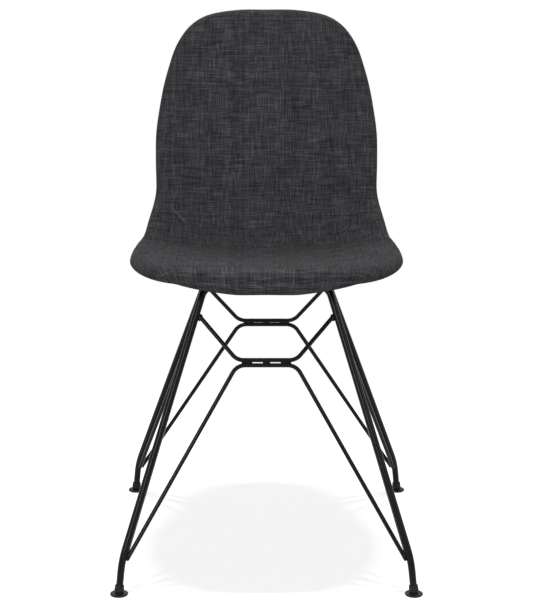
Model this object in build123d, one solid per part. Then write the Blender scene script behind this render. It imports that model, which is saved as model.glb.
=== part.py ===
from build123d import *
import math
import os

# Upholstered side chair on a welded wire base
# Millimetres, +Z up, the sitter faces -Y, origin on the floor under the middle of the chair's box

# Wire base: where the four legs stand and meet
FRONT_FOOT_X = 225.0
REAR_FOOT_X = 232.0
FOOT_Y = 225.0
BEND_HEIGHT = 54.0
BEND_INSET = 5.0
FRONT_TOP_X = 95.0
REAR_TOP_X = 88.0
TOP_Y = 81.0
CROSSBAR_HEIGHT = 450.0
LEG_ROD = 11.0
LEG_BEND_RADIUS = 120.0
TOP_BEND_RADIUS = 22.0

# Lattice wires on the four faces of the base
WIRE = 6.6
WIRE_PITCH = 8.0
LATTICE_DROP = 112.0
LATTICE_FLAT = 91.0
WIRE_BEND_RADIUS = 22.0
UPPER_WIRE_DROP = 42.0
FRONT_WIRE_RISE = 3.0
REAR_WIRE_RISE = -5.0
LOWER_WIRE_TUCK = 1.9
SIDE_WIRE_INSET = 4.2
WIRE_END_GAP = 0.4

# Weld beads
LEG_BEAD = 6.4
LEG_BEAD_RUN = 5.0
LEG_BEAD_STANDOFF = 1.55
LEG_BEAD_SHIFT = 2.5
LATTICE_BEAD = 4.6
LATTICE_BEAD_REACH = 30.0
LATTICE_END_RUN = 12.0
LATTICE_MIDDLE_RUN = 7.0
TAB_BEAD = 4.4
TAB_BEAD_RUN = 20.0

# Glides: sleeve on the rod with a ball stud in its hollow lower end, foot with a round hub on the ball
# Sleeve heights are measured along the rod from the middle of the ball
SLEEVE_WALL = 1.35
SLEEVE_FLARE = 0.6
SLEEVE_BOTTOM = 1.0
SLEEVE_CEILING = 4.9
SLEEVE_FLOOR = 1.2
SLEEVE_TOP = 10.2
SLEEVE_CHAMFER = 0.8
ROD_FIT = 0.1
BALL_DIAMETER = 6.4
BALL_HEIGHT = 5.6
NECK_DIAMETER = 3.8
BALL_CLEARANCE = 0.06
HUB_DIAMETER = 13.2
HUB_TOP = 8.6
HUB_FOOT = 3.7
HUB_CLEARANCE = 0.35
FOOT_DIAMETER = 27.8
FOOT_RIM = 3.0
FOOT_EDGE_ROUND = 1.3
NECK_SWING = 18.0

# Seat fixing: tabs on the crossbars, rubber pads, bolts into threaded inserts
TAB_THICKNESS = 3.0
TAB_WIDTH = 30.0
TAB_REACH = 30.0
TAB_CORNER = 8.0
BOLT_X = 58.0
BOLT_FROM_BAR = 21.0
BOLT_DIAMETER = 6.0
BOLT_HOLE = 6.6
BOLT_LENGTH = 16.0
HEAD_DIAMETER = 11.0
HEAD_HEIGHT = 3.3
HEAD_ROUND = 1.65
HEX_ACROSS = 4.0
HEX_DEPTH = 2.0
WASHER_DIAMETER = 12.5
WASHER_THICKNESS = 1.6
WASHER_HOLE = 6.4
PAD_DIAMETER = 22.0
PAD_THICKNESS = 5.0
BOSS_DIAMETER = 20.0
INSERT_DIAMETER = 9.0
INSERT_LENGTH = 8.0
INSERT_RECESS = 0.3
THREAD_CLEARANCE = 0.06

# Seat shell: side profile of the seam surface, from the front lip to the top of the back
SEAT_OVER_BAR = 33.4
LIP_REACH = 196.0
LIP_RADIUS = 17.0
LIP_SKIRT = 0.4
SEAT_DEPTH = 305.0
SEAT_FALL = 27.1
BACK_RISE = 390.4
BACK_LEAN = 127.0
SEAT_BACK_RADIUS = 130.0

# Seat shell: widths and padding
SEAT_HALF_WIDTH = 213.0
BACK_HALF_WIDTH = 181.5
SEAT_PADDING = 19.0
BACK_PADDING = 15.0
SHELL_DEPTH = 7.5
EDGE_ROUND = 17.0
EDGE_LIMIT = 0.6
EDGE_SHAPE = 0.72
EDGE_CROWN = 0.97
END_ROUND = 16.0
END_SHARE = 0.22
SAG_SPAN = 200.0
SIDE_RISE = 26.0
COVER_THICKNESS = 1.6
COVER_CLEARANCE = 0.25
SEAM_GAP = 0.3
CAVITY_OVERLAP = 3.0
MIN_STATION = 0.5

# Stations along the shell: 0 at the lip, 1 at the middle of the bend, 2 at the top of the back
# Half width at each station: share of the seat's half width, share of the back's half width
OUTLINE_SHARES = (
    (0.0, 0.21, 0.0),
    (0.005, 0.29, 0.0),
    (0.0133, 0.38, 0.0),
    (0.0267, 0.49, 0.0),
    (0.0467, 0.595, 0.0),
    (0.07, 0.668, 0.0),
    (0.1, 0.733, 0.0),
    (0.15, 0.805, 0.0),
    (0.217, 0.87, 0.0),
    (0.3, 0.927, 0.0),
    (0.4, 0.971, 0.0),
    (0.5, 0.996, 0.0),
    (0.6, 1.0, 0.0),
    (0.717, 0.953, 0.047),
    (0.81, 0.836, 0.164),
    (0.89, 0.622, 0.378),
    (0.97, 0.484, 0.516),
    (1.039, 0.375, 0.625),
    (1.099, 0.248, 0.752),
    (1.165, 0.09, 0.91),
    (1.228, 0.0, 0.999),
    (1.342, 0.0, 1.004),
    (1.464, 0.0, 1.002),
    (1.57, 0.0, 0.974),
    (1.671, 0.0, 0.935),
    (1.759, 0.0, 0.885),
    (1.823, 0.0, 0.84),
    (1.878, 0.0, 0.78),
    (1.919, 0.0, 0.714),
    (1.949, 0.0, 0.64),
    (1.9695, 0.0, 0.562),
    (1.9822, 0.0, 0.48),
    (1.9911, 0.0, 0.385),
    (1.997, 0.0, 0.285),
    (2.0, 0.0, 0.2),
)
# Rise of the shell's sides over the sag span: station, share of the largest rise
RISE_SHARES = (
    (0.0, 0.06),
    (0.14, 0.14),
    (0.58, 0.42),
    (1.05, 1.0),
    (1.3, 0.923),
    (1.65, 0.77),
    (2.0, 0.654),
)
# Padding changes from the seat's to the back's between these stations
SEAT_PADDING_STATION = 0.7
BACK_PADDING_STATION = 1.3

FACES = {
    "front": ("front_left", "front_right"),
    "rear": ("rear_left", "rear_right"),
    "left": ("front_left", "rear_left"),
    "right": ("front_right", "rear_right"),
}
SIDES = {"left": -1, "right": 1}
ENDS = {"front": -1, "rear": 1}


def interpolate(table, value):
    """Straight-line value of a table of (place, size) pairs."""
    place, size = table[0]
    for next_place, next_size in table[1:]:
        if value <= next_place:
            share = max(0.0, (value - place) / (next_place - place))
            return size + share * (next_size - size)
        place, size = next_place, next_size
    return size


# Legs

SLEEVE_DIAMETER = LEG_ROD + 2 * (ROD_FIT + SLEEVE_WALL)
LATTICE_HEIGHT = CROSSBAR_HEIGHT - LATTICE_DROP
UP = (Align.CENTER, Align.CENTER, Align.MIN)
DOWN = (Align.CENTER, Align.CENTER, Align.MAX)


def foot_x(end):
    """Half the stance of the front or the rear legs."""
    return FRONT_FOOT_X if end == "front" else REAR_FOOT_X


def top_x(end):
    """Half the length of the front or the rear crossbar, corner to corner."""
    return FRONT_TOP_X if end == "front" else REAR_TOP_X


def ball_centre(corner):
    """Centre of a glide's ball, on the leg's line above the middle of its foot."""
    end, side = corner.split("_")
    return Vector(SIDES[side] * foot_x(end), ENDS[end] * FOOT_Y, BALL_HEIGHT)


def leg_bend(corner):
    """Corner point of the bend near the floor."""
    end, side = corner.split("_")
    return Vector(SIDES[side] * (foot_x(end) - BEND_INSET), ENDS[end] * (FOOT_Y - BEND_INSET), BEND_HEIGHT)


def leg_top(corner):
    """Corner point between a leg and its crossbar."""
    end, side = corner.split("_")
    return Vector(SIDES[side] * top_x(end), ENDS[end] * TOP_Y, CROSSBAR_HEIGHT)


def foot_direction(corner):
    """Unit vector up a leg's short lower stretch."""
    return (leg_bend(corner) - ball_centre(corner)).normalized()


def leg_direction(corner):
    """Unit vector up a leg's long straight stretch."""
    return (leg_top(corner) - leg_bend(corner)).normalized()


def leg_point(corner, height):
    """Point on a leg's long straight centreline at a height."""
    bend = leg_bend(corner)
    rise = leg_top(corner) - bend
    return bend + rise * ((height - bend.Z) / rise.Z)


def foot_point(corner, run):
    """Point on a leg's short lower centreline, at a run above the ball."""
    return ball_centre(corner) + foot_direction(corner) * run


def bent_path(points, radii):
    """Straight runs joined by tangent arcs, one radius for each inner corner point."""
    edges = []
    start = points[0]
    for before, corner, after, radius in zip(points, points[1:], points[2:], radii):
        to_before = (before - corner).normalized()
        to_after = (after - corner).normalized()
        half_turn = math.radians(180 - to_before.get_angle(to_after)) / 2
        bisector = (to_before + to_after).normalized()
        arc_start = corner + to_before * (radius * math.tan(half_turn))
        arc_stop = corner + to_after * (radius * math.tan(half_turn))
        arc_middle = corner + bisector * (radius / math.cos(half_turn) - radius)
        edges.append(Edge.make_line(start, arc_start))
        edges.append(Edge.make_three_point_arc(arc_start, arc_middle, arc_stop))
        start = arc_stop
    edges.append(Edge.make_line(start, points[-1]))
    return Wire(edges)


def leg_place(corner, height):
    """Point on a leg's bent centreline at a height, and the unit vector up the leg there."""
    path = bent_path([ball_centre(corner), leg_bend(corner), leg_top(corner)], (LEG_BEND_RADIUS,))
    level = Plane(origin=(0, 0, height), z_dir=(0, 0, 1))
    for edge in path.edges():
        hit = edge.intersect(level)
        if hit:
            point = hit.vertices()[0].center()
            return point, edge.tangent_at(point)


def rod_along(points, radii, diameter):
    """Round rod bent along a row of corner points."""
    path = bent_path(points, radii)
    profile = Plane(origin=path @ 0, z_dir=path % 0) * Circle(diameter / 2)
    return sweep(profile, path=path)


def leg_frame(end):
    """Two legs and their crossbar, bent from one rod."""
    left = end + "_left"
    right = end + "_right"
    rod_end = SLEEVE_CEILING + SLEEVE_FLOOR + ROD_FIT
    points = [
        foot_point(left, rod_end),
        leg_bend(left),
        leg_top(left),
        leg_top(right),
        leg_bend(right),
        foot_point(right, rod_end),
    ]
    radii = (LEG_BEND_RADIUS, TOP_BEND_RADIUS, TOP_BEND_RADIUS, LEG_BEND_RADIUS)
    return rod_along(points, radii, LEG_ROD)


# Lattice wires and welds

def wire_height(corner, level):
    """Height on a leg at which an upper or a lower wire ends."""
    if level == "upper":
        return CROSSBAR_HEIGHT - UPPER_WIRE_DROP
    return BEND_HEIGHT + (FRONT_WIRE_RISE if corner.startswith("front") else REAR_WIRE_RISE)


def across(corner):
    """Unit vector from a leg towards the other leg of its frame."""
    return Vector(-SIDES[corner.split("_")[1]], 0, 0)


def weld_side(corner, other, along):
    """Unit vector, square to the leg, from its centre towards the wire that runs to another leg."""
    reach = leg_point(other, LATTICE_HEIGHT) - leg_point(corner, LATTICE_HEIGHT)
    reach = (reach - along * reach.dot(along)).normalized()
    if corner.split("_")[0] == other.split("_")[0]:
        return reach
    turn = math.asin(SIDE_WIRE_INSET / (LEG_ROD / 2 + WIRE / 2))
    inside = across(corner) - along * across(corner).dot(along)
    inside = (inside - reach * inside.dot(reach)).normalized()
    return reach * math.cos(turn) + inside * math.sin(turn)


def face_flat(face, offset):
    """Middle and direction of a lattice wire's level run, offset up the face from the lattice height."""
    first, second = FACES[face]
    slope = (leg_direction(first) + leg_direction(second)).normalized()
    height = LATTICE_HEIGHT + offset * slope.Z
    start = leg_point(first, height)
    stop = leg_point(second, height)
    inset = SIDE_WIRE_INSET if face in SIDES else 0
    return (start + stop) / 2 + across(first) * inset, (stop - start).normalized()


def wire_end(corner, other, level, flat_corner):
    """Where a wire's centreline stops: in the leg for an upper wire, tucked against it for a lower one."""
    seat, along = leg_place(corner, wire_height(corner, level))
    side = weld_side(corner, other, along)
    if level == "upper":
        return seat + side * SIDE_WIRE_INSET
    near = WIRE / 2 * abs((flat_corner - seat).normalized().dot(along))
    return seat + side * (LEG_ROD / 2 + near - LOWER_WIRE_TUCK)


def trimmed(wire, corner, other, level):
    """A wire that reaches into a leg, cut off along the leg's side."""
    seat, along = leg_place(corner, wire_height(corner, level))
    side = weld_side(corner, other, along)
    cut = Plane(origin=seat + side * (LEG_ROD / 2 + WIRE_END_GAP), z_dir=side)
    return split(wire, bisect_by=cut, keep=Keep.TOP)


def lattice_wire(face, level):
    """One bent wire of a face: a level run in the middle and two arms to the legs."""
    first, second = FACES[face]
    middle, along = face_flat(face, WIRE_PITCH / 2 if level == "upper" else -WIRE_PITCH / 2)
    left = middle - along * (LATTICE_FLAT / 2)
    right = middle + along * (LATTICE_FLAT / 2)
    points = [wire_end(first, second, level, left), left, right, wire_end(second, first, level, right)]
    wire = rod_along(points, (WIRE_BEND_RADIUS, WIRE_BEND_RADIUS), WIRE)
    return trimmed(trimmed(wire, first, second, level), second, first, level)


def bead(centre, along, diameter, run):
    """Round-ended weld bead, which runs into the pieces that it joins."""
    radius = diameter / 2
    low = RadiusArc((0, -run / 2 - radius), (radius, -run / 2), -radius)
    high = RadiusArc((radius, run / 2), (0, run / 2 + radius), -radius)
    outline = low + Line(low @ 1, high @ 0) + high + Line(high @ 1, low @ 0)
    solid = revolve(Plane.XZ * make_face(outline), Axis.Z)
    return Plane(origin=centre, z_dir=along) * solid


def leg_bead(corner, other, level):
    """Weld bead in the wedge between a wire's end and its leg."""
    shift = -LEG_BEAD_SHIFT if level == "upper" else LEG_BEAD_SHIFT
    seat, along = leg_place(corner, wire_height(corner, level) + shift)
    centre = seat + weld_side(corner, other, along) * (LEG_ROD / 2 + LEG_BEAD_STANDOFF)
    return bead(centre, along, LEG_BEAD, LEG_BEAD_RUN)


# Glides

def glide_sleeve(corner):
    """Plastic sleeve over the rod's end, hollow below round the ball stud."""
    plane = Plane(origin=ball_centre(corner), z_dir=foot_direction(corner))
    height = SLEEVE_TOP - SLEEVE_BOTTOM
    sleeve = Pos(0, 0, SLEEVE_BOTTOM) * Cone(
        SLEEVE_DIAMETER / 2 + SLEEVE_FLARE, SLEEVE_DIAMETER / 2, height, align=UP
    )
    sleeve = chamfer(sleeve.edges().filter_by(GeomType.CIRCLE).sort_by(Axis.Z)[-1], SLEEVE_CHAMFER)
    hollow = HUB_DIAMETER / 2 + HUB_CLEARANCE
    hollow = Sphere(hollow) - Pos(0, 0, SLEEVE_CEILING) * Cylinder(hollow, hollow, align=UP)
    pocket = Pos(0, 0, SLEEVE_CEILING + SLEEVE_FLOOR) * Cylinder(LEG_ROD / 2 + ROD_FIT, height, align=UP)
    neck = Cylinder(NECK_DIAMETER / 2, SLEEVE_CEILING + SLEEVE_FLOOR / 2, align=UP)
    return plane * (sleeve - hollow - pocket + neck + Sphere(BALL_DIAMETER / 2))


def glide_foot(corner):
    """Flat foot on the floor, with a round hub and the socket that holds the ball."""
    centre = ball_centre(corner)
    rim = FOOT_DIAMETER / 2
    flat = rim - FOOT_EDGE_ROUND
    hub = HUB_DIAMETER / 2
    hub_foot = math.sqrt(hub ** 2 - (BALL_HEIGHT - HUB_FOOT) ** 2)
    hub_top = math.sqrt(hub ** 2 - (HUB_TOP - BALL_HEIGHT) ** 2)
    outline = Line((0, 0), (flat, 0))
    outline += ThreePointArc((flat, 0), (rim, FOOT_RIM / 2), (flat, FOOT_RIM))
    outline += Line((flat, FOOT_RIM), (hub_foot, HUB_FOOT))
    outline += ThreePointArc((hub_foot, HUB_FOOT), (hub, BALL_HEIGHT), (hub_top, HUB_TOP))
    outline += Polyline((hub_top, HUB_TOP), (0, HUB_TOP), (0, 0))
    body = revolve(Plane.XZ * make_face(outline), Axis.Z)
    socket = Pos(0, 0, BALL_HEIGHT) * Sphere(BALL_DIAMETER / 2 + BALL_CLEARANCE)
    mouth_height = HUB_TOP - BALL_HEIGHT
    mouth_low = NECK_DIAMETER / 2
    mouth_high = mouth_low + mouth_height * math.tan(math.radians(NECK_SWING)) + BALL_CLEARANCE
    mouth = Pos(0, 0, BALL_HEIGHT) * Cone(mouth_low, mouth_high, mouth_height, align=UP)
    return Pos(centre.X, centre.Y, 0) * (body - socket - mouth)


# Seat shell

SEAT_FRONT_HEIGHT = CROSSBAR_HEIGHT + SEAT_OVER_BAR
SEAT_BACK_Y = SEAT_DEPTH - LIP_REACH
SEAT_BACK_HEIGHT = SEAT_FRONT_HEIGHT - SEAT_FALL
BACK_TOP_Y = SEAT_BACK_Y + BACK_LEAN
BACK_TOP_HEIGHT = SEAT_BACK_HEIGHT + BACK_RISE


def profile_path():
    """Side profile of the seam surface, from the lip's lower end to the top of the back."""
    lip_turn = math.pi / 2 + math.atan2(SEAT_FALL, SEAT_DEPTH)
    lip_drop = LIP_RADIUS * math.tan(lip_turn / 2) + LIP_SKIRT
    corners = [
        Vector(0, -LIP_REACH, SEAT_FRONT_HEIGHT - lip_drop),
        Vector(0, -LIP_REACH, SEAT_FRONT_HEIGHT),
        Vector(0, SEAT_BACK_Y, SEAT_BACK_HEIGHT),
        Vector(0, BACK_TOP_Y, BACK_TOP_HEIGHT),
    ]
    return bent_path(corners, (LIP_RADIUS, SEAT_BACK_RADIUS))


PROFILE = profile_path()
PROFILE_LENGTH = PROFILE.length
LIP_RUN, LIP_BEND, SEAT_RUN, SEAT_BEND, BACK_RUN = PROFILE.edges()
SEAT_LENGTH = LIP_RUN.length + LIP_BEND.length + SEAT_RUN.length + SEAT_BEND.length / 2


def place_at(station):
    """Distance along the profile of a station."""
    if station <= 1:
        return station * SEAT_LENGTH
    return SEAT_LENGTH + (station - 1) * (PROFILE_LENGTH - SEAT_LENGTH)


OUTLINE = [
    (place_at(station), seat_share * SEAT_HALF_WIDTH + back_share * BACK_HALF_WIDTH)
    for station, seat_share, back_share in OUTLINE_SHARES
]
RISE = [(place_at(station), share * SIDE_RISE / SAG_SPAN ** 2) for station, share in RISE_SHARES]
PADDING = [
    (place_at(SEAT_PADDING_STATION), SEAT_PADDING),
    (place_at(BACK_PADDING_STATION), BACK_PADDING),
]


def station_plane(place):
    """Plane across the shell: local X to the right, local Y towards the sitter."""
    along = PROFILE.tangent_at(place, position_mode=PositionMode.LENGTH)
    origin = PROFILE.position_at(place, position_mode=PositionMode.LENGTH)
    return Plane(origin=origin, x_dir=(1, 0, 0), z_dir=-along)


def end_share(place):
    """Share of the full thickness, rounding off at the lip and at the top."""
    distance = min(place, PROFILE_LENGTH - place, END_ROUND)
    round_off = math.sqrt(1 - (1 - distance / END_ROUND) ** 2)
    return END_SHARE + (1 - END_SHARE) * round_off


THICKNESS = [(place, end_share(place)) for place, width in OUTLINE]


def half_section(place, inset, front, level):
    """Half of a cross-section: a level side on the seam surface and a crowned side with drawn-in edges."""
    half = interpolate(OUTLINE, place) - inset
    rise = interpolate(RISE, place)
    full = interpolate(PADDING, place) if front else SHELL_DEPTH
    depth = full * interpolate(THICKNESS, place) - inset
    bulge = depth if front else -depth
    corner = min(EDGE_ROUND, half * EDGE_LIMIT)
    flat = half - corner
    foot = max(level, 0) if front else min(level, 0)

    def point(x, share):
        return (x, rise * x ** 2 + foot + (bulge - foot) * share)

    def seam_point(x):
        return (x, rise * x ** 2 + level)

    shoulder = flat + corner * EDGE_SHAPE
    right = ThreePointArc(point(half, 0), point(shoulder, EDGE_SHAPE), point(flat, EDGE_CROWN))
    crown = ThreePointArc(point(flat, EDGE_CROWN), point(0, 1), point(-flat, EDGE_CROWN))
    left = ThreePointArc(point(-flat, EDGE_CROWN), point(-shoulder, EDGE_SHAPE), point(-half, 0))
    outline = right + crown + left
    if level != foot:
        outline += Line(point(-half, 0), seam_point(-half)) + Line(seam_point(half), point(half, 0))
    outline += ThreePointArc(seam_point(-half), seam_point(0), seam_point(half))
    return station_plane(place) * make_face(outline)


def half_shell(front, inset, level):
    """Front or rear half of the upholstered shell, set in from its outside."""
    near = inset + MIN_STATION
    places = [PROFILE_LENGTH - inset]
    places += [place for place, width in reversed(OUTLINE) if near < place < PROFILE_LENGTH - near]
    places.append(inset)
    return loft([half_section(place, inset, front, level) for place in places], ruled=True)


def seam_height(y):
    """Height of the seam surface at the middle of the seat, at a depth in the chair."""
    line = Edge.make_line((0, y, 0), (0, y, BACK_TOP_HEIGHT))
    hits = [edge.intersect(line) for edge in PROFILE.edges()]
    heights = [vertex.Z for hit in hits if hit for vertex in hit.vertices()]
    return min(heights)


# Seat fixing

def fixing_points():
    """Places of the four bolts."""
    return {
        end + "_" + side: Vector(SIDES[side] * BOLT_X, ENDS[end] * (TOP_Y - BOLT_FROM_BAR), 0)
        for end in ENDS
        for side in SIDES
    }


TAB_BOTTOM = CROSSBAR_HEIGHT - TAB_THICKNESS / 2
PAD_BOTTOM = CROSSBAR_HEIGHT + TAB_THICKNESS / 2
BOSS_BOTTOM = PAD_BOTTOM + PAD_THICKNESS
WASHER_BOTTOM = TAB_BOTTOM - WASHER_THICKNESS


def ring(outer, inner, height):
    """Flat ring standing on its lower face."""
    return Cylinder(outer / 2, height, align=UP) - Cylinder(inner / 2, height, align=UP)


def mount_tab(corner):
    """Steel tab on the inner side of a crossbar, with the bolt's hole."""
    end, side = corner.split("_")
    bar_side = TOP_Y - LEG_ROD / 2 - WIRE_END_GAP
    plate = Rectangle(TAB_WIDTH, TAB_REACH)
    plate = fillet(plate.vertices().group_by(Axis.Y)[0 if end == "rear" else -1], TAB_CORNER)
    place = Vector(SIDES[side] * BOLT_X, ENDS[end] * (bar_side - TAB_REACH / 2), TAB_BOTTOM)
    hole = fixing_points()[corner]
    drill = Pos(hole.X, hole.Y, TAB_BOTTOM) * Cylinder(BOLT_HOLE / 2, TAB_THICKNESS, align=UP)
    return Pos(*place) * extrude(plate, TAB_THICKNESS) - drill


def tab_beads(corner):
    """Beads above and below a tab, in the corner with the crossbar."""
    end, side = corner.split("_")
    y = ENDS[end] * (TOP_Y - LEG_ROD / 2)
    beads = []
    for z in (TAB_BOTTOM, PAD_BOTTOM):
        beads.append(bead(Vector(SIDES[side] * BOLT_X, y, z), Vector(1, 0, 0), TAB_BEAD, TAB_BEAD_RUN))
    return beads


def bolt():
    """Button-head bolt, head down, origin under the tab's washer."""
    head = Cylinder(HEAD_DIAMETER / 2, HEAD_HEIGHT, align=DOWN)
    head = fillet(head.edges().sort_by(Axis.Z)[0], HEAD_ROUND)
    shank = Cylinder(BOLT_DIAMETER / 2, BOLT_LENGTH, align=UP)
    drive = RegularPolygon(HEX_ACROSS / 2, 6, major_radius=False)
    return head + shank - Pos(0, 0, -HEAD_HEIGHT) * extrude(drive, HEX_DEPTH)


def boss_pillar(point, diameter):
    """Round pillar from the seat pad's top into the padding, at one of the bolts."""
    height = seam_height(point.Y) + SEAT_PADDING / 2 - BOSS_BOTTOM
    return Pos(point.X, point.Y, BOSS_BOTTOM) * Cylinder(diameter / 2, height, align=UP)


def moulded_core(lining):
    """Moulded shell with four bosses under it and the blind holes of their inserts."""
    core = half_shell(False, lining, -SEAM_GAP)
    padding_side = half_shell(True, lining, -SEAM_GAP)
    depth = INSERT_RECESS + INSERT_LENGTH
    for point in fixing_points().values():
        core = core + (boss_pillar(point, BOSS_DIAMETER) - padding_side)
    for point in fixing_points().values():
        core = core - Pos(point.X, point.Y, BOSS_BOTTOM) * Cylinder(INSERT_DIAMETER / 2, depth, align=UP)
    return core


def main():
    """Build every node in the frame of the feet, centre the chair and write one file for each node."""
    nodes = {}
    for end in ENDS:
        nodes[end + "_leg_frame"] = leg_frame(end)

    for face in FACES:
        for level in ("upper", "lower"):
            nodes[face + "_" + level + "_wire"] = lattice_wire(face, level)

    leg_welds = []
    lattice_welds = []
    for face, (first, second) in FACES.items():
        for level in ("upper", "lower"):
            leg_welds.append(leg_bead(first, second, level))
            leg_welds.append(leg_bead(second, first, level))
        middle, along = face_flat(face, 0)
        lattice_welds.append(bead(middle, along, LATTICE_BEAD, LATTICE_MIDDLE_RUN))
        for offset in (-LATTICE_BEAD_REACH, LATTICE_BEAD_REACH):
            lattice_welds.append(bead(middle + along * offset, along, LATTICE_BEAD, LATTICE_END_RUN))

    tab_welds = []
    for corner in fixing_points():
        nodes["mount_tab_" + corner] = mount_tab(corner)
        tab_welds += tab_beads(corner)

    groups = {"leg_welds": leg_welds, "lattice_welds": lattice_welds, "tab_welds": tab_welds}
    for name in ("seat_bolts", "bolt_washers", "threaded_inserts"):
        groups[name] = []
    for corner, point in fixing_points().items():
        pad = ring(PAD_DIAMETER, BOLT_HOLE, PAD_THICKNESS)
        nodes["seat_pad_" + corner] = Pos(point.X, point.Y, PAD_BOTTOM) * pad
        groups["seat_bolts"].append(Pos(point.X, point.Y, WASHER_BOTTOM) * bolt())
        washer = ring(WASHER_DIAMETER, WASHER_HOLE, WASHER_THICKNESS)
        groups["bolt_washers"].append(Pos(point.X, point.Y, WASHER_BOTTOM) * washer)
        insert = ring(INSERT_DIAMETER, BOLT_DIAMETER + 2 * THREAD_CLEARANCE, INSERT_LENGTH)
        groups["threaded_inserts"].append(Pos(point.X, point.Y, BOSS_BOTTOM + INSERT_RECESS) * insert)

    for corner in fixing_points():
        nodes["glide_sleeve_" + corner] = glide_sleeve(corner)
        nodes["glide_foot_" + corner] = glide_foot(corner)

    lining = COVER_THICKNESS + COVER_CLEARANCE
    nodes["foam_pad"] = half_shell(True, lining, SEAM_GAP)
    nodes["seat_shell"] = moulded_core(lining)
    front_cavity = half_shell(True, COVER_THICKNESS, -CAVITY_OVERLAP)
    rear_cavity = half_shell(False, COVER_THICKNESS, CAVITY_OVERLAP)
    nodes["front_cover"] = half_shell(True, 0, SEAM_GAP / 2) - front_cavity
    rear_cover = half_shell(False, 0, -SEAM_GAP / 2) - rear_cavity
    for point in fixing_points().values():
        rear_cover = rear_cover - boss_pillar(point, BOSS_DIAMETER + 2 * COVER_CLEARANCE)
    nodes["rear_cover"] = rear_cover

    # Centre the chair's box over the origin and write one file for each node
    for name, solids in groups.items():
        nodes[name] = Compound(children=[solid for shape in solids for solid in shape.solids()])
    box = Compound(children=[solid for shape in nodes.values() for solid in shape.solids()]).bounding_box()
    shift = Pos(0, -(box.min.Y + box.max.Y) / 2, 0)
    os.makedirs("parts", exist_ok=True)
    for name, shape in nodes.items():
        export_step(shift * shape, "parts/" + name + ".step")
    print("shift in depth", shift.position.Y, "box", box.size)
    for corner in fixing_points():
        centre = ball_centre(corner) + shift.position
        print("ball", corner, centre.X, centre.Y, centre.Z)


if __name__ == "__main__":
    main()
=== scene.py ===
import math
from collections import namedtuple

import bpy
import numpy as np
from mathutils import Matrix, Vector


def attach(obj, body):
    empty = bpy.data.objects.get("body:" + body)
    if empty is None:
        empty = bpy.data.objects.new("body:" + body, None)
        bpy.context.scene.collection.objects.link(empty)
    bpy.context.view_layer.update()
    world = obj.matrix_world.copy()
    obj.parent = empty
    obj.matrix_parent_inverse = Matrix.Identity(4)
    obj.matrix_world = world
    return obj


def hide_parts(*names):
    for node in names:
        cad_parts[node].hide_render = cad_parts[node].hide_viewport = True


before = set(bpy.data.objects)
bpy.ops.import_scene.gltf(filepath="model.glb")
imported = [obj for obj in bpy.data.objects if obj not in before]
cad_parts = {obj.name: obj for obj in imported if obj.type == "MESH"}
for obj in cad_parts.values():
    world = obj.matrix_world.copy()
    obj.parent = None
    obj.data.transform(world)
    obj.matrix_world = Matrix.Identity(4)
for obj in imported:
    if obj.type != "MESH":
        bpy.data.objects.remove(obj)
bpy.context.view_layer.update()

MM = 0.001

# Seat shell: the same sizes as the solids, in millimetres over the middle of the feet
SHIFT_Y = -0.551
CROSSBAR_HEIGHT = 450.0
SEAT_OVER_BAR = 33.4
LIP_REACH = 196.0
LIP_RADIUS = 17.0
LIP_SKIRT = 0.4
SEAT_DEPTH = 305.0
SEAT_FALL = 27.1
BACK_RISE = 390.4
BACK_LEAN = 127.0
SEAT_BACK_RADIUS = 130.0
SEAT_HALF_WIDTH = 213.0
BACK_HALF_WIDTH = 181.5
SEAT_PADDING = 19.0
BACK_PADDING = 15.0
SHELL_DEPTH = 7.5
EDGE_ROUND = 17.0
SAG_SPAN = 200.0
SIDE_RISE = 26.0
COVER_THICKNESS = 1.6

# Stations along the shell: 0 at the lip, 1 at the middle of the bend, 2 at the top of the back
# Outline: station, share of the seat's half width, share of the back's half width
OUTLINE_SHARES = (
    (0.0, 0.21, 0.0), (0.005, 0.29, 0.0), (0.0133, 0.38, 0.0), (0.0267, 0.49, 0.0),
    (0.0467, 0.595, 0.0), (0.07, 0.668, 0.0), (0.1, 0.733, 0.0), (0.15, 0.805, 0.0),
    (0.217, 0.87, 0.0), (0.3, 0.927, 0.0), (0.4, 0.971, 0.0), (0.5, 0.996, 0.0),
    (0.6, 1.0, 0.0), (0.717, 0.953, 0.047), (0.81, 0.836, 0.164), (0.89, 0.622, 0.378),
    (0.97, 0.484, 0.516), (1.039, 0.375, 0.625), (1.099, 0.248, 0.752), (1.165, 0.09, 0.91),
    (1.228, 0.0, 0.999), (1.342, 0.0, 1.004), (1.464, 0.0, 1.002), (1.57, 0.0, 0.974),
    (1.671, 0.0, 0.935), (1.759, 0.0, 0.885), (1.823, 0.0, 0.84), (1.878, 0.0, 0.78),
    (1.919, 0.0, 0.714), (1.949, 0.0, 0.64), (1.9695, 0.0, 0.562), (1.9822, 0.0, 0.48),
    (1.9911, 0.0, 0.385), (1.997, 0.0, 0.285), (2.0, 0.0, 0.2),
)
# Sides raised towards the sitter: station, share of SIDE_RISE
RISE_SHARES = (
    (0.0, 0.06), (0.14, 0.14), (0.58, 0.42), (1.05, 1.0), (1.3, 0.923), (1.65, 0.77), (2.0, 0.654),
)
SEAT_PADDING_STATION = 0.7
BACK_PADDING_STATION = 1.3

# Rounding of the kinks in a table: its samples, the drop of their weights, and the reaches in millimetres
KINK_SAMPLES = 9
KINK_DROP = 0.9
RISE_REACH = 40.0
PADDING_REACH = 60.0


# Side profile as straight runs and arcs; a straight run has no radius

Segment = namedtuple("Segment", "start heading length radius side")


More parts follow.
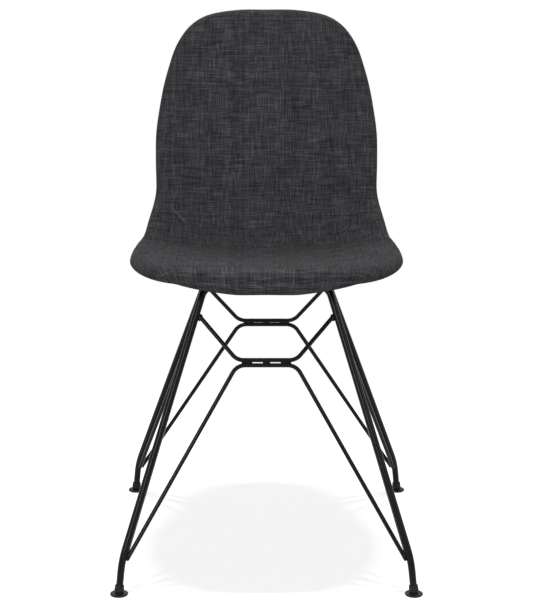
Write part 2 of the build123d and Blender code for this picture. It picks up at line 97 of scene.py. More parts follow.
def profile_segments():
    """Runs and arcs of the side profile, in (y, z)."""
    front = CROSSBAR_HEIGHT + SEAT_OVER_BAR
    turn = math.pi / 2 + math.atan2(SEAT_FALL, SEAT_DEPTH)
    drop = LIP_RADIUS * math.tan(turn / 2) + LIP_SKIRT
    back_y = SEAT_DEPTH - LIP_REACH
    back_z = front - SEAT_FALL
    corners = [
        np.array((-LIP_REACH, front - drop)),
        np.array((-LIP_REACH, front)),
        np.array((back_y, back_z)),
        np.array((back_y + BACK_LEAN, back_z + BACK_RISE)),
    ]
    segments = []
    start = corners[0]
    for number, radius in enumerate((LIP_RADIUS, SEAT_BACK_RADIUS)):
        before, corner, after = corners[number:number + 3]
        into = (corner - before) / np.linalg.norm(corner - before)
        out = (after - corner) / np.linalg.norm(after - corner)
        angle = math.acos(float(np.clip(into @ out, -1, 1)))
        run = radius * math.tan(angle / 2)
        arc_start = corner - into * run
        segments.append(Segment(start, into, float(np.linalg.norm(arc_start - start)), None, None))
        side = 1.0 if into[0] * out[1] - into[1] * out[0] > 0 else -1.0
        segments.append(Segment(arc_start, into, radius * angle, radius, side))
        start = corner + out * run
    rest = corners[-1] - start
    length = float(np.linalg.norm(rest))
    segments.append(Segment(start, rest / length, length, None, None))
    return segments


SEGMENTS = profile_segments()
LENGTHS = [segment.length for segment in SEGMENTS]
PROFILE_LENGTH = sum(LENGTHS)
SEAT_LENGTH = LENGTHS[0] + LENGTHS[1] + LENGTHS[2] + LENGTHS[3] / 2


def profile_at(places):
    """Points and unit tangents of the profile at distances along it; past its ends it goes on."""
    places = np.asarray(places, float)
    points = np.zeros(places.shape + (2,))
    tangents = np.zeros(places.shape + (2,))
    begin = 0.0
    for number, segment in enumerate(SEGMENTS):
        low = -np.inf if number == 0 else begin
        high = np.inf if number == len(SEGMENTS) - 1 else begin + segment.length
        chosen = (places >= low) & (places < high)
        run = (places[chosen] - begin)[:, None]
        into = segment.heading
        if segment.radius is None:
            points[chosen] = segment.start + run * into
            tangents[chosen] = into
        else:
            normal = np.array((-into[1], into[0])) * segment.side
            angle = run / segment.radius
            forward = segment.radius * np.sin(angle) * into
            points[chosen] = segment.start + forward + segment.radius * (1 - np.cos(angle)) * normal
            tangents[chosen] = np.cos(angle) * into + np.sin(angle) * normal
        begin += segment.length
    return points, tangents


def place_at(station):
    """Distance along the profile of a station."""
    if station <= 1:
        return station * SEAT_LENGTH
    return SEAT_LENGTH + (station - 1) * (PROFILE_LENGTH - SEAT_LENGTH)


OUTLINE_PLACES = [place_at(station) for station, seat, back in OUTLINE_SHARES]
OUTLINE_WIDTHS = [seat * SEAT_HALF_WIDTH + back * BACK_HALF_WIDTH for station, seat, back in OUTLINE_SHARES]
RISE_PLACES = [place_at(station) for station, share in RISE_SHARES]
RISE_VALUES = [share * SIDE_RISE / SAG_SPAN ** 2 for station, share in RISE_SHARES]
PADDING_PLACES = [place_at(SEAT_PADDING_STATION), place_at(BACK_PADDING_STATION)]


def smooth_table(places, values, at, reach):
    """Table value, with its kinks rounded over a reach."""
    steps = np.linspace(-1, 1, KINK_SAMPLES)
    weights = 1 - np.abs(steps) * KINK_DROP
    total = sum(w * np.interp(at + reach * step, places, values) for step, w in zip(steps, weights))
    return total / weights.sum()


# Developed outline of the shell: points on the whole loop and on each span between two outline points
LOOP_POINTS = 2400
SPAN_POINTS = 24
KNOT_POWER = 0.5


def between(a, b, start, stop, at):
    """Point on the line that is at a for start and at b for stop."""
    return (stop - at) / (stop - start) * a + (at - start) / (stop - start) * b


def curve_span(p0, p1, p2, p3):
    """Points from p1 up to p2 on a smooth curve through four points."""
    knots = [0.0]
    for a, b in ((p0, p1), (p1, p2), (p2, p3)):
        knots.append(knots[-1] + np.linalg.norm(b - a) ** KNOT_POWER)
    t0, t1, t2, t3 = knots
    points = []
    for t in np.linspace(t1, t2, SPAN_POINTS, endpoint=False):
        a1 = between(p0, p1, t0, t1, t)
        a2 = between(p1, p2, t1, t2, t)
        a3 = between(p2, p3, t2, t3, t)
        b1 = between(a1, a2, t0, t2, t)
        b2 = between(a2, a3, t1, t3, t)
        points.append(between(b1, b2, t1, t2, t))
    return points


def outline_loop():
    """Closed, evenly spaced loop of points (x, place) around the developed shell, lip middle first."""
    half = list(zip(OUTLINE_WIDTHS, OUTLINE_PLACES))
    right = [(0.0, 0.0)] + half + [(0.0, PROFILE_LENGTH)]
    control = np.array(right + [(-x, place) for x, place in reversed(half)])
    total = len(control)
    dense = []
    for i in range(total):
        dense += curve_span(*(control[(i + step) % total] for step in (-1, 0, 1, 2)))
    dense = np.array(dense + [dense[0]])
    length = np.concatenate(([0.0], np.cumsum(np.linalg.norm(np.diff(dense, axis=0), axis=1))))
    even = np.linspace(0, length[-1], LOOP_POINTS, endpoint=False)
    return np.stack([np.interp(even, length, dense[:, axis]) for axis in (0, 1)], axis=1)


LOOP = outline_loop()

# Grid of quads over the developed shell: points between its rounded edges and on each of those edges
GRID_COLUMNS = 150
GRID_ROWS = 250
EDGE_POINTS = 11
# Width and length, in millimetres, that the spacing of the points is worked out for
GRID_WIDTH = 400.0
GRID_LENGTH = 640.0
# Corners of the grid on the outline: share of the half width, distance in millimetres from the end
LIP_CORNER_SHARE = 0.66
LIP_CORNER_PLACE = 22.0
TOP_CORNER_SHARE = 0.7
TOP_CORNER_DROP = 27.0
# Stretches of the grid, in shares of its width and length, that carry the creases and are finer
CREASED_COLUMNS = ((0.02, 0.2), (0.8, 0.98))
CREASED_ROWS = ((0.29, 0.49),)
FINE_GAIN = 1.8
FINE_FADE = 0.01
DENSITY_SAMPLES = 2000
# Search for the nearest outline point: step of the first look, points at a time
SEARCH_STEP = 4
SEARCH_BLOCK = 2000


def spacing(count, length, fine):
    """Shares from 0 to 1, closest near both ends and closer than elsewhere inside the fine stretches."""
    turns = np.linspace(0, math.pi / 2, EDGE_POINTS)
    near = EDGE_ROUND * (1 - np.cos(turns)) / length
    shares = np.linspace(near[-1], 1 - near[-1], DENSITY_SAMPLES)
    density = np.ones_like(shares)
    for start, stop in fine:
        outside = np.abs(shares - (start + stop) / 2) - (stop - start) / 2
        density += FINE_GAIN / (1 + np.exp(outside / FINE_FADE))
    reached = np.cumsum(density)
    middle = np.interp(np.linspace(reached[0], reached[-1], count), reached, shares)
    return np.concatenate((near[:-1], middle, (1 - near[::-1])[1:]))


def loop_run(start, stop, shares):
    """Points along the loop between two of its indices, at shares of the way."""
    at = start + shares * (stop - start)
    low = np.floor(at).astype(int)
    part = (at - low)[:, None]
    return LOOP[low % LOOP_POINTS] * (1 - part) + LOOP[(low + 1) % LOOP_POINTS] * part


def corner_index(x, place):
    """Loop index nearest to a point."""
    return int(np.argmin(((LOOP - np.array((x, place))) ** 2).sum(1)))


def developed_grid():
    """Grid of (x, place) points whose edges follow the outline."""
    lip_right = corner_index(LIP_CORNER_SHARE * SEAT_HALF_WIDTH, LIP_CORNER_PLACE)
    top_right = corner_index(TOP_CORNER_SHARE * BACK_HALF_WIDTH, PROFILE_LENGTH - TOP_CORNER_DROP)
    lip_left = LOOP_POINTS - lip_right
    top_left = LOOP_POINTS - top_right
    across = spacing(GRID_COLUMNS, GRID_WIDTH, CREASED_COLUMNS)
    along = spacing(GRID_ROWS, GRID_LENGTH, CREASED_ROWS)
    low = loop_run(lip_left - LOOP_POINTS, lip_right, across)
    high = loop_run(top_left, top_right, across)
    left = loop_run(lip_left, top_left, along)
    right = loop_run(lip_right, top_right, along)
    u = across[None, :, None]
    v = along[:, None, None]
    sides = (1 - v) * low[None] + v * high[None] + (1 - u) * left[:, None] + u * right[:, None]
    corners = (1 - u) * (1 - v) * low[0] + u * (1 - v) * low[-1]
    corners = corners + (1 - u) * v * high[0] + u * v * high[-1]
    return sides - corners


def edge_distance(grid):
    """Distance of a grid's points from the outline; its border lies on it."""
    flat = grid.reshape(-1, 2)
    coarse = LOOP[::SEARCH_STEP]
    found = np.empty(len(flat))
    for begin in range(0, len(flat), SEARCH_BLOCK):
        block = flat[begin:begin + SEARCH_BLOCK]
        nearest = ((block[:, None] - coarse[None]) ** 2).sum(2).argmin(1) * SEARCH_STEP
        best = np.full(len(block), np.inf)
        for step in range(-SEARCH_STEP, SEARCH_STEP):
            start = LOOP[(nearest + step) % LOOP_POINTS]
            run = LOOP[(nearest + step + 1) % LOOP_POINTS] - start
            share = np.clip(((block - start) * run).sum(1) / (run ** 2).sum(1), 0, 1)
            best = np.minimum(best, np.linalg.norm(start + share[:, None] * run - block, axis=1))
        found[begin:begin + SEARCH_BLOCK] = best
    distance = found.reshape(grid.shape[:2])
    distance[[0, -1]] = 0
    distance[:, [0, -1]] = 0
    return distance


GRID = developed_grid()
EDGE = edge_distance(GRID)
X = GRID[..., 0]
PLACE = GRID[..., 1]
# Height of the seam surface over the profile: the sides rise towards the sitter
SEAM = smooth_table(RISE_PLACES, RISE_VALUES, PLACE, RISE_REACH) * X ** 2


def to_space(x, place, level):
    """Points in the chair's frame, in metres, of developed points at a height over the profile."""
    points, tangents = profile_at(place)
    y = points[..., 0] - tangents[..., 1] * level
    z = points[..., 1] + tangents[..., 0] * level
    return np.stack((x, y + SHIFT_Y, z), axis=-1) * MM


def rounded(edge, reach):
    """Quarter-ellipse rise from the outline inwards."""
    share = np.clip(edge / reach, 0, 1)
    return np.sqrt(1 - (1 - share) ** 2)


# Folds of the front cover, in millimetres over the developed shell: start, stop, half width, height
FOLDS = (
    ((-157.0, 349.0), (-129.0, 309.0), 2.6, 3.4),
    ((122.0, 281.0), (146.0, 309.0), 2.3, 1.9),
    ((128.0, 279.0), (150.0, 304.0), 2.3, 1.9),
    ((119.0, 288.0), (137.0, 311.0), 2.3, 1.5),
    ((148.0, 261.0), (165.0, 287.0), 2.3, 1.9),
    ((155.0, 260.0), (171.0, 282.0), 2.3, 1.7),
    ((140.0, 348.0), (160.0, 361.0), 2.3, 1.5),
    ((128.0, 331.0), (143.0, 345.0), 2.3, 1.3),
    ((-151.0, 268.0), (-126.0, 279.0), 2.5, 1.3),
)
# Puckers where the cover is drawn round the waist, in millimetres
PUCKER_PLACES = (256.0, 366.0)
PUCKER_PITCH = 6.6
PUCKER_LENGTH = 23.0
PUCKER_HEIGHT = 2.6
PUCKER_WIDTH = 2.3
PUCKER_SLANT = 2.0
# How much the puckers differ, and the turn in radians from each to the next
HEIGHT_CHANGE = 0.35
HEIGHT_TURN = 2.4
LENGTH_CHANGE = 0.2
LENGTH_TURN = 1.7
# Form of a crease: how it fades at its ends, how far it leans, and how it starts at the edge
RIDGE_FADE = 0.8
RIDGE_LEAN = 0.5
CREASE_ROUND = EDGE_ROUND / 5


def ridge(start, stop, width):
    """Ridge with a shallow dip beside it, along a short line between two developed points."""
    a = np.array(start)
    b = np.array(stop)
    length = np.linalg.norm(b - a)
    along = (b - a) / length
    share = ((X - a[0]) * along[0] + (PLACE - a[1]) * along[1]) / length
    off = ((PLACE - a[1]) * along[0] - (X - a[0]) * along[1]) / width
    fade = np.clip(1 - (2 * share - 1) ** 2, 0, None) ** RIDGE_FADE
    return fade * (RIDGE_LEAN + off) * np.exp(-(off ** 2))


def crease_height():
    """Height of the folds and puckers of the front cover."""
    height = np.zeros_like(X)
    for start, stop, width, size in FOLDS:
        height += size * ridge(start, stop, width)
    for number, place in enumerate(np.arange(*PUCKER_PLACES, PUCKER_PITCH)):
        for side in (-1, 1):
            size = 1 - HEIGHT_CHANGE + HEIGHT_CHANGE * math.sin(HEIGHT_TURN * number + side)
            reach = 1 - LENGTH_CHANGE + LENGTH_CHANGE * math.cos(LENGTH_TURN * number + side)
            edge = side * float(np.interp(place, OUTLINE_PLACES, OUTLINE_WIDTHS))
            start = (edge, place - PUCKER_SLANT)
            stop = (edge - side * PUCKER_LENGTH * reach, place + PUCKER_SLANT)
            height += PUCKER_HEIGHT * size * ridge(start, stop, PUCKER_WIDTH)
    return height * rounded(EDGE, CREASE_ROUND)


CREASES = crease_height()


# Meshes

def grid_faces(rows, columns, first, flip):
    """Quads of a grid of points, numbered from first."""
    faces = []
    for r in range(rows - 1):
        for c in range(columns - 1):
            a = first + r * columns + c
            quad = (a, a + 1, a + columns + 1, a + columns)
            faces.append(quad[::-1] if flip else quad)
    return faces


def rim_indices(rows, columns, first):
    """Indices of a grid's border, once around."""
    low = list(range(columns))
    right = [r * columns + columns - 1 for r in range(1, rows)]
    high = [(rows - 1) * columns + c for c in range(columns - 2, -1, -1)]
    left = [r * columns for r in range(rows - 2, 0, -1)]
    return [first + i for i in low + right + high + left]


def two_sided_piece(name, outer, inner, weave, flip):
    """Closed piece from an outer and an inner grid joined along their borders."""
    rows, columns = outer.shape[:2]
    count = rows * columns
    points = np.concatenate((outer.reshape(-1, 3), inner.reshape(-1, 3)))
    faces = grid_faces(rows, columns, 0, flip) + grid_faces(rows, columns, count, not flip)
    outer_rim = rim_indices(rows, columns, 0)
    inner_rim = rim_indices(rows, columns, count)
    for i in range(len(outer_rim)):
        j = (i + 1) % len(outer_rim)
        quad = (outer_rim[i], inner_rim[i], inner_rim[j], outer_rim[j])
        faces.append(quad[::-1] if flip else quad)
    mesh = bpy.data.meshes.new(name)
    mesh.from_pydata(points.tolist(), [], faces)
    mesh.polygons.foreach_set("use_smooth", [True] * len(mesh.polygons))
    attribute = mesh.attributes.new("weave", "FLOAT_VECTOR", "POINT")
    attribute.data.foreach_set("vector", np.concatenate((weave, weave)).ravel())
    mesh.update()
    piece = bpy.data.objects.new(name, mesh)
    bpy.context.scene.collection.objects.link(piece)
    return piece


# Cloth drawn over the rounded edges: share of the drop, and where sides and ends begin, in millimetres
OVER_EDGE_SHARE = 0.6
SIDES_FROM = 30.0
ENDS_WITHIN = 40.0


def weave_coordinates(level, creases):
    """Coordinates of the cloth in metres, measured over the rounded edges, with the height of its creases as
    the third, which sets the painted highlight and shade on them.
    """
    drop = level.max() * np.clip(1 - rounded(EDGE, EDGE_ROUND), 0, 1)
    over = OVER_EDGE_SHARE * drop
    x = X + np.sign(X) * over * (np.abs(X) > SIDES_FROM)
    place = PLACE - np.where(PLACE < ENDS_WITHIN, over, 0)
    place = place + np.where(PLACE > PROFILE_LENGTH - ENDS_WITHIN, over, 0)
    return np.stack((x, place, creases), axis=-1).reshape(-1, 3) * MM


# Cloth simulation of the front cover: points across and along, pressure, frames
SIM_COLUMNS = 64
SIM_ROWS = 100
SIM_PRESSURE = 0.3
SIM_FRAMES = 20
# The pad starts lower by the slack, in millimetres, and the pressed cover swells by up to the cap
PAD_SLACK = 2.0
SWELL_CAP = 2.3


def simulated_rise(start, faces, rim):
    """Movement in metres of a cover's points, held at their rim and pressed from below."""
    scene = bpy.context.scene
    mesh = bpy.data.meshes.new("cover_trial")
    mesh.from_pydata(start.tolist(), [], faces)
    cover = bpy.data.objects.new("cover_trial", mesh)
    scene.collection.objects.link(cover)
    pins = cover.vertex_groups.new(name="rim")
    pins.add(rim, 1.0, "REPLACE")
    settings = cover.modifiers.new("cloth", "CLOTH").settings
    settings.vertex_group_mass = pins.name
    settings.use_pressure = True
    settings.uniform_pressure_force = SIM_PRESSURE
    settings.effector_weights.gravity = 0.0
    for number in range(1, SIM_FRAMES + 1):
        scene.frame_set(number)
    shaped = cover.evaluated_get(bpy.context.evaluated_depsgraph_get()).to_mesh()
    moved = np.empty(len(shaped.vertices) * 3)
    shaped.vertices.foreach_get("co", moved)
    bpy.data.objects.remove(cover)
    bpy.data.meshes.remove(mesh)
    scene.frame_set(1)
    return moved.reshape(-1, 3) - start


def pressed_swell(level):
    """Swell of the front cover in millimetres over its first level, capped."""
    every_row = np.arange(X.shape[0])
    every_column = np.arange(X.shape[1])
    rows = np.unique(np.linspace(0, every_row[-1], SIM_ROWS).round().astype(int))
    columns = np.unique(np.linspace(0, every_column[-1], SIM_COLUMNS).round().astype(int))
    chosen = np.ix_(rows, columns)
    start = to_space(X, PLACE, SEAM + level)[chosen].reshape(-1, 3)
    faces = grid_faces(len(rows), len(columns), 0, False)
    rise = simulated_rise(start, faces, rim_indices(len(rows), len(columns), 0))
    tangents = profile_at(PLACE)[1][chosen].reshape(-1, 2)
    swell = (tangents[:, 0] * rise[:, 2] - tangents[:, 1] * rise[:, 1]) / MM
    swell = SWELL_CAP * np.tanh(np.clip(swell, 0, None) / SWELL_CAP).reshape(len(rows), len(columns))
    across = np.stack([np.interp(every_column, columns, line) for line in swell])
    return np.stack([np.interp(every_row, rows, line) for line in across.T], axis=1)


# Covers: crown of the padding, half the seam's gap in millimetres, share of the width of the inner sides
CROWN_SHARE = 0.03
SEAM_HALF_GAP = 0.15
FRONT_INNER_SHARE = 0.999
REAR_INNER_SHARE = 0.992


def front_height():
    """Height of the front cover over the seam surface before it swells."""
    padding = smooth_table(PADDING_PLACES, [SEAT_PADDING, BACK_PADDING], PLACE, PADDING_REACH)
    middle = 1 - np.clip(np.abs(X) / (SEAT_HALF_WIDTH - EDGE_ROUND), 0, 1) ** 2
    crown = 1 - CROWN_SHARE + CROWN_SHARE * middle
    return (padding - PAD_SLACK) * crown * rounded(EDGE, EDGE_ROUND)


def front_upholstery():
    """Front cover and the foam under it, as one crowned piece."""
    level = front_height()
    level += pressed_swell(level) + CREASES
    seam = SEAM + SEAM_HALF_GAP
    outer = to_space(X, PLACE, seam + level)
    inner = to_space(X * FRONT_INNER_SHARE, PLACE, seam)
    return two_sided_piece("front_upholstery", outer, inner, weave_coordinates(level, CREASES), False)


def rear_upholstery():
    """Rear cover, tight on the shell."""
    level = SHELL_DEPTH * rounded(EDGE, EDGE_ROUND)
    seam = SEAM - SEAM_HALF_GAP
    outer = to_space(X, PLACE, seam - level)
    inner = to_space(X * REAR_INNER_SHARE, PLACE, seam - np.clip(level - COVER_THICKNESS, 0, None))
    weave = weave_coordinates(level, np.zeros_like(CREASES))
    return two_sided_piece("rear_upholstery", outer, inner, weave, True)


# Nodes

def emptied(tree, output):
    """Output node of a tree that had its other nodes removed."""
    tree.nodes.clear()
    return tree.nodes.new(output)


def new_material(name):
    """Material with a principled shader."""
    material = bpy.data.materials.new(name)
    material.use_nodes = True
    tree = material.node_tree
    output = emptied(tree, "ShaderNodeOutputMaterial")
    shader = tree.nodes.new("ShaderNodeBsdfPrincipled")
    tree.links.new(shader.outputs["BSDF"], output.inputs["Surface"])
    return material, tree, shader


def node(tree, kind, inputs=None, **settings):
    """New node with its settings and inputs; an input is a value or an output socket."""
    made = tree.nodes.new(kind)
    for key, value in settings.items():
        setattr(made, key, value)
    for key, value in (inputs or {}).items():
        socket = made.inputs[key]
        if isinstance(value, bpy.types.NodeSocket):
            tree.links.new(value, socket)
        else:
            socket.default_value = value
    return made


def maths(tree, operation, *values):
    """Output of one math node."""
    return node(tree, "ShaderNodeMath", dict(enumerate(values)), operation=operation).outputs[0]


def ramp(tree, value, stops):
    """Output of a colour ramp."""
    made = node(tree, "ShaderNodeValToRGB", {"Fac": value})
    elements = made.color_ramp.elements
    elements[0].position, elements[0].color = stops[0]
    elements[1].position, elements[1].color = stops[-1]
    for position, colour in stops[1:-1]:
        elements.new(position).color = colour
    return made.outputs["Color"]


def grey(value, blue=1.0):
    """Colour of one linear grey, with its blue raised or lowered."""
    return (value, value, value * blue, 1.0)


def noise_value(tree, vector, scale, detail):
    """Noise between 0 and 1."""
    inputs = {"Vector": vector, "Scale": scale, "Detail": detail}
    return node(tree, "ShaderNodeTexNoise", inputs).outputs["Fac"]


def add_bump(tree, shader, height, strength, distance):
    """Bump of a surface from a height."""
    bump = node(tree, "ShaderNodeBump", {"Strength": strength, "Distance": distance, "Height": height})
    tree.links.new(bump.outputs["Normal"], shader.inputs["Normal"])


def set_finish(shader, finish):
    """Sets the shader's values that are the same all over."""
    for key, value in finish.items():
        shader.inputs[key].default_value = value


# Yarns, and the bands that the weft was woven in: pitch and length of their runs, in millimetres
YARN = 1.0
RUN = 34.0
BAND = 4.6
BAND_RUN = 90.0
BAND_SHARE = 0.2
# Numbers that the counts of warp, weft and bands start from, so that each has shades of its own
WARP_START = 1000.5
WEFT_START = 3000.5
BAND_START = 3500.5
# Tone of a yarn: share of its own shade, spread of where its runs start, detail of the runs
OWN_SHADE = 0.22
RUN_SPREAD = 97.0
RUN_DETAIL = 2.0
MEAN_TONE = 0.5 + OWN_SHADE / 2
# Weave: how far warp and weft take turns on top, height of the yarns' tones in the relief
WEAVE_CONTRAST = 0.4
TONE_RELIEF = 0.8
WEAVE_BUMP = 0.4
WEAVE_DEPTH = 0.4 * MM
# Size of the cloth's soft shades, in millimetres, and their share of the tone
SHADE = 34.0
SHADE_SHARE = 0.1
SHADE_DETAIL = 1.0
# Painted highlight on the crests of the creases and painted shade in the dips beside them: tone added per
# millimetre of their height
CREASE_PAINTED_LIGHT = 0.1
# Drop that brings the mean tone to the middle of the colours
TONE_DROP = 0.16
# Colours of the cloth: tone, linear grey, blue as a share of that grey
FABRIC_COLOURS = (
    (0.26, 0.0125, 1.08),
    (0.40, 0.0245, 1.08),
    (0.50, 0.0375, 1.08),
    (0.60, 0.0545, 1.07),
    (0.74, 0.088, 1.07),
)
FABRIC_FINISH = {
    "Roughness": 0.95,
    "Specular IOR Level": 0.04,
    "Sheen Weight": 0.04,
    "Sheen Roughness": 0.5,
}


def yarn_tone(tree, across, along, start, pitch, run):
    """Tone of the yarns that run one way: each has its own shade and its own runs along it."""
    number = maths(tree, "FLOOR", maths(tree, "MULTIPLY_ADD", across, 1 / (pitch * MM), start))
    own = node(tree, "ShaderNodeTexWhiteNoise", {"W": number}, noise_dimensions="1D").outputs["Value"]
    offset = maths(tree, "MULTIPLY", own, RUN_SPREAD)
    place = maths(tree, "MULTIPLY_ADD", along, 1 / (run * MM), offset)
    inputs = {"W": place, "Scale": 1.0, "Detail": RUN_DETAIL}
    runs = node(tree, "ShaderNodeTexNoise", inputs, noise_dimensions="1D").outputs["Fac"]
    return maths(tree, "MULTIPLY_ADD", own, OWN_SHADE, runs)


def yarn_on_top(tree, x, y):
    """Plain weave: 1 where one set of yarns lies on top, -1 where the other does."""
    turn = math.pi / (YARN * MM)
    waves = [maths(tree, "SINE", maths(tree, "MULTIPLY", axis, turn)) for axis in (x, y)]
    return maths(tree, "MULTIPLY", *waves)


def fabric_material():
    """Slubby plain weave of charcoal melange yarns, with painted highlight and shade along the front cover's
    creases.
    """
    material, tree, shader = new_material("charcoal_weave")
    cloth = node(tree, "ShaderNodeAttribute", attribute_name="weave").outputs["Vector"]
    axes = node(tree, "ShaderNodeSeparateXYZ", {"Vector": cloth}).outputs
    warp = yarn_tone(tree, axes["X"], axes["Y"], WARP_START, YARN, RUN)
    plain = yarn_tone(tree, axes["Y"], axes["X"], WEFT_START, YARN, RUN)
    bands = yarn_tone(tree, axes["Y"], axes["X"], BAND_START, BAND, BAND_RUN)
    weft = maths(tree, "MULTIPLY_ADD", maths(tree, "SUBTRACT", bands, MEAN_TONE), BAND_SHARE, plain)
    on_top = yarn_on_top(tree, axes["X"], axes["Y"])
    mask = maths(tree, "MULTIPLY_ADD", on_top, WEAVE_CONTRAST, 0.5)
    yarn = node(tree, "ShaderNodeMix", {"Factor": mask, "A": warp, "B": weft}, data_type="FLOAT").outputs[0]
    dropped = maths(tree, "SUBTRACT", yarn, TONE_DROP)
    # Painted highlight on the crease crests and painted shade in their dips, from the crease height in the
    # weave's third coordinate
    crease_painted_tone = maths(tree, "MULTIPLY_ADD", axes["Z"], CREASE_PAINTED_LIGHT / MM, dropped)
    shade = noise_value(tree, cloth, 1 / (SHADE * MM), SHADE_DETAIL)
    tone = maths(tree, "MULTIPLY_ADD", shade, SHADE_SHARE, crease_painted_tone)
    colour = ramp(tree, tone, [(place, grey(value, blue)) for place, value, blue in FABRIC_COLOURS])
    tree.links.new(colour, shader.inputs["Base Color"])
    relief = maths(tree, "MULTIPLY_ADD", yarn, TONE_RELIEF, maths(tree, "ABSOLUTE", on_top))
    add_bump(tree, shader, relief, WEAVE_BUMP, WEAVE_DEPTH)
    set_finish(shader, FABRIC_FINISH)
    return material


# Painted and moulded surfaces: scale and detail of the mottle, detail and bump of the grain
MOTTLE_SCALE = 60.0
MOTTLE_DETAIL = 3.0
MOTTLE_LOW = 0.3
MOTTLE_HIGH = 0.7
GRAIN_DETAIL = 2.0
GRAIN_BUMP = 0.25
# How far the grain lowers and raises the roughness
SMOOTHER = 0.06
ROUGHER = 0.08


def coated_material(name, low, high, roughness, grain, depth, finish):
    """Painted, plated or moulded surface with a fine grain and a slight mottle."""
    material, tree, shader = new_material(name)
    place = node(tree, "ShaderNodeTexCoord").outputs["Object"]
    mottle = noise_value(tree, place, MOTTLE_SCALE, MOTTLE_DETAIL)
    colour = ramp(tree, mottle, ((MOTTLE_LOW, low), (MOTTLE_HIGH, high)))
    tree.links.new(colour, shader.inputs["Base Color"])
    fine = noise_value(tree, place, grain, GRAIN_DETAIL)
    limits = {"Value": fine, "To Min": roughness - SMOOTHER, "To Max": roughness + ROUGHER}
    rough = node(tree, "ShaderNodeMapRange", limits).outputs[0]
    tree.links.new(rough, shader.inputs["Roughness"])
    add_bump(tree, shader, fine, GRAIN_BUMP, depth)
    set_finish(shader, finish)
    return material


fabric = fabric_material()
steel = coated_material(
    "black_powder_coat",
    low=grey(0.003),
    high=grey(0.0045),
    roughness=0.18,
    grain=1400.0,
    depth=0.02 * MM,
    finish={"Specular IOR Level": 0.13},
)
plastic = coated_material(
    "black_moulded_plastic",
    low=grey(0.007),
    high=grey(0.011),
    roughness=0.5,
    grain=2200.0,
    depth=0.08 * MM,
    finish={"Specular IOR Level": 0.16},
)
shell_plastic = coated_material(
    "shell_plastic",
    low=grey(0.02),
    high=grey(0.028),
    roughness=0.55,
    grain=1800.0,
    depth=0.1 * MM,
    finish={},
)
rubber = coated_material(
    "pad_rubber",
    low=grey(0.01),
    high=grey(0.016),
    roughness=0.8,
    grain=2600.0,
    depth=0.1 * MM,
    finish={},
)
zinc = coated_material(
    "zinc_plate",
    low=(0.42, 0.43, 0.45, 1),
    high=(0.55, 0.56, 0.58, 1),
    roughness=0.32,
    grain=1900.0,
    depth=0.04 * MM,
    finish={"Metallic": 1.0},
)
brass = coated_material(
    "insert_brass",
    low=(0.55, 0.38, 0.14, 1),
    high=(0.66, 0.47, 0.19, 1),
    roughness=0.35,
    grain=1900.0,
    depth=0.04 * MM,
    finish={"Metallic": 1.0},
)

# Material of each node by the start of its name; the first that fits counts
MATERIAL_OF = (
    ("glide_", plastic),
    ("seat_pad_", rubber),
    ("seat_bolts", zinc),
    ("bolt_washers", zinc),
    ("threaded_inserts", brass),
    ("seat_shell", shell_plastic),
    ("foam_pad", shell_plastic),
    ("front_cover", fabric),
    ("rear_cover", fabric),
    ("", steel),
)
for name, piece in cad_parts.items():
    material = next(found for start, found in MATERIAL_OF if name.startswith(start))
    piece.data.materials.clear()
    piece.data.materials.append(material)

front = front_upholstery()
rear = rear_upholstery()
for piece, nodes in ((front, ("front_cover", "foam_pad")), (rear, ("rear_cover",))):
    piece.data.materials.append(fabric)
    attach(piece, "chair")
    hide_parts(*nodes)


# Floor: half its side and the distances between which its shadow fades out, in metres
FLOOR_REACH = 30.0
SHADOW_FADES_FROM = 0.45
SHADOW_ENDS_AT = 1.1
# Diffuse colour of the floor near the object, and the share of it by which the floor's own glow is lowered
SHADOW_RESPONSE = 0.6
SHADOW_LIFT = 0.25
# Grey of the floor, and strength of the surround, for the light that they give to the object
FLOOR_GREY = 0.75
WORLD_STRENGTH = 0.11
# Lamps: name, place, the point that it is aimed at, width and height in metres, power in watts
OBJECT_LAMPS = (
    ("front_panel", (-0.95, -2.6, 1.25), (0.0, 0.0, 0.45), (0.7, 1.1), 28.0),
    ("right_panel", (2.4, -1.35, 1.5), (0.0, 0.0, 0.5), (1.2, 1.4), 9.0),
    ("top_panel", (0.0, -1.3, 2.5), (0.0, 0.0, 0.6), (1.6, 1.0), 34.0),
    ("back_panel", (0.0, 1.5, 2.2), (0.0, 0.0, 0.7), (1.8, 0.8), 44.0),
)
FLOOR_LAMP = ("floor_panel", (0.05, 0.0, 6.0), (0.05, 0.0, 0.0), (1.4, 0.2), 280.0)
# Camera: place and reach in metres, tilt below level in degrees, lens and sensor in millimetres
CAMERA_PLACE = (0.0, -2.62115, 1.0686)
CAMERA_REACH = 200.0
CAMERA_TILT = 14.32
CAMERA_LENS = 100.08
SENSOR_WIDTH = 36.0


def background_rays(tree):
    """1 for the rays that show the white background: from the camera, through glass or off gloss."""
    path = tree.nodes.new("ShaderNodeLightPath").outputs
    straight = maths(tree, "MAXIMUM", path["Is Camera Ray"], path["Is Transmission Ray"])
    return maths(tree, "MAXIMUM", straight, path["Is Glossy Ray"])


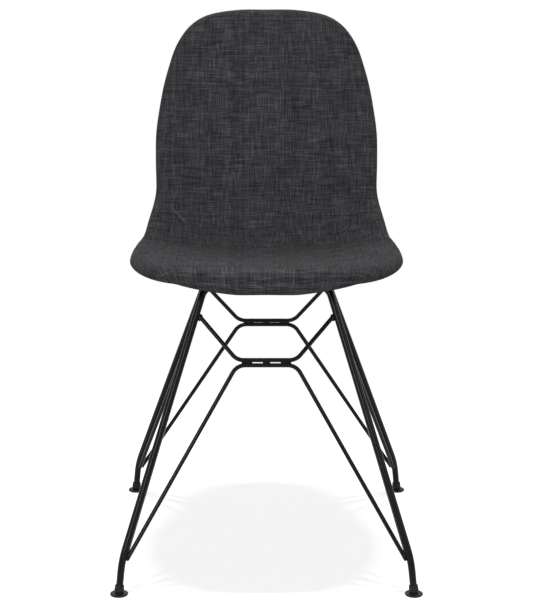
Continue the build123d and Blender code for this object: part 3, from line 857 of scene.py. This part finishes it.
def floor_material():
    """White floor that keeps a pale shadow and stays white to the camera."""
    material = bpy.data.materials.new("studio_floor")
    material.use_nodes = True
    tree = material.node_tree
    output = emptied(tree, "ShaderNodeOutputMaterial")
    place = node(tree, "ShaderNodeNewGeometry").outputs["Position"]
    distance = node(tree, "ShaderNodeVectorMath", {0: place}, operation="LENGTH").outputs["Value"]
    fade = {"Value": distance, "From Min": SHADOW_FADES_FROM, "From Max": SHADOW_ENDS_AT}
    far = node(tree, "ShaderNodeMapRange", fade, interpolation_type="SMOOTHSTEP").outputs[0]
    limits = {"Value": far, "To Min": SHADOW_RESPONSE, "To Max": 0.0}
    response = node(tree, "ShaderNodeMapRange", limits).outputs[0]
    seen = node(tree, "ShaderNodeBsdfDiffuse", {"Color": response})
    kept = maths(tree, "MULTIPLY_ADD", response, -SHADOW_LIFT, 1.0)
    glow = node(tree, "ShaderNodeEmission", {"Color": grey(1.0), "Strength": kept})
    lit = node(tree, "ShaderNodeAddShader", {0: seen.outputs[0], 1: glow.outputs[0]})
    plain = node(tree, "ShaderNodeBsdfDiffuse", {"Color": grey(FLOOR_GREY)})
    shaders = {0: background_rays(tree), 1: plain.outputs[0], 2: lit.outputs[0]}
    mixed = node(tree, "ShaderNodeMixShader", shaders)
    tree.links.new(mixed.outputs[0], output.inputs["Surface"])
    return material


def light_receivers(piece, state):
    """Collection that keeps a piece out of a lamp's light, or keeps the light to that piece."""
    group = bpy.data.collections.new(piece.name + "_" + state.lower())
    group.objects.link(piece)
    group.collection_objects[0].light_linking.link_state = state
    return group


def add_floor():
    """Large level floor; gives the receivers of the lamps that leave it out and of its own lamp."""
    mesh = bpy.data.meshes.new("floor")
    corners = [(x * FLOOR_REACH, y * FLOOR_REACH, 0) for x, y in ((-1, -1), (1, -1), (1, 1), (-1, 1))]
    mesh.from_pydata(corners, [], [(0, 1, 2, 3)])
    floor = bpy.data.objects.new("floor", mesh)
    floor.data.materials.append(floor_material())
    bpy.context.scene.collection.objects.link(floor)
    return [light_receivers(floor, state) for state in ("EXCLUDE", "INCLUDE")]


def add_world():
    """Even surround, white where it shows and weak as a light."""
    world = bpy.data.worlds.new("studio")
    bpy.context.scene.world = world
    world.use_nodes = True
    tree = world.node_tree
    output = emptied(tree, "ShaderNodeOutputWorld")
    light = node(tree, "ShaderNodeBackground", {"Color": grey(1.0), "Strength": WORLD_STRENGTH})
    white = node(tree, "ShaderNodeBackground", {"Color": grey(1.0), "Strength": 1.0})
    shaders = {0: background_rays(tree), 1: light.outputs[0], 2: white.outputs[0]}
    mixed = node(tree, "ShaderNodeMixShader", shaders)
    tree.links.new(mixed.outputs[0], output.inputs["Surface"])


def add_panel(name, place, target, size, power, receivers):
    """Soft rectangular lamp aimed at a point, which lights what its receivers name."""
    lamp = bpy.data.lights.new(name, "AREA")
    lamp.shape = "RECTANGLE"
    lamp.size, lamp.size_y = size
    lamp.energy = power
    panel = bpy.data.objects.new(name, lamp)
    panel.location = place
    panel.rotation_euler = (Vector(target) - Vector(place)).to_track_quat("-Z", "Y").to_euler()
    bpy.context.scene.collection.objects.link(panel)
    panel.light_linking.receiver_collection = receivers


def add_camera():
    """Camera at the photograph's height, distance and tilt."""
    camera = bpy.data.cameras.new("camera")
    camera.sensor_width = SENSOR_WIDTH
    camera.lens = CAMERA_LENS
    camera.clip_end = CAMERA_REACH
    view = bpy.data.objects.new("camera", camera)
    view.location = CAMERA_PLACE
    view.rotation_euler = (math.radians(90 - CAMERA_TILT), 0.0, 0.0)
    bpy.context.scene.collection.objects.link(view)
    bpy.context.scene.camera = view


off_floor, floor_only = add_floor()
add_world()
for lamp_values in OBJECT_LAMPS:
    add_panel(*lamp_values, off_floor)
add_panel(*FLOOR_LAMP, floor_only)
add_camera()
bpy.context.scene.view_settings.view_transform = "Standard"
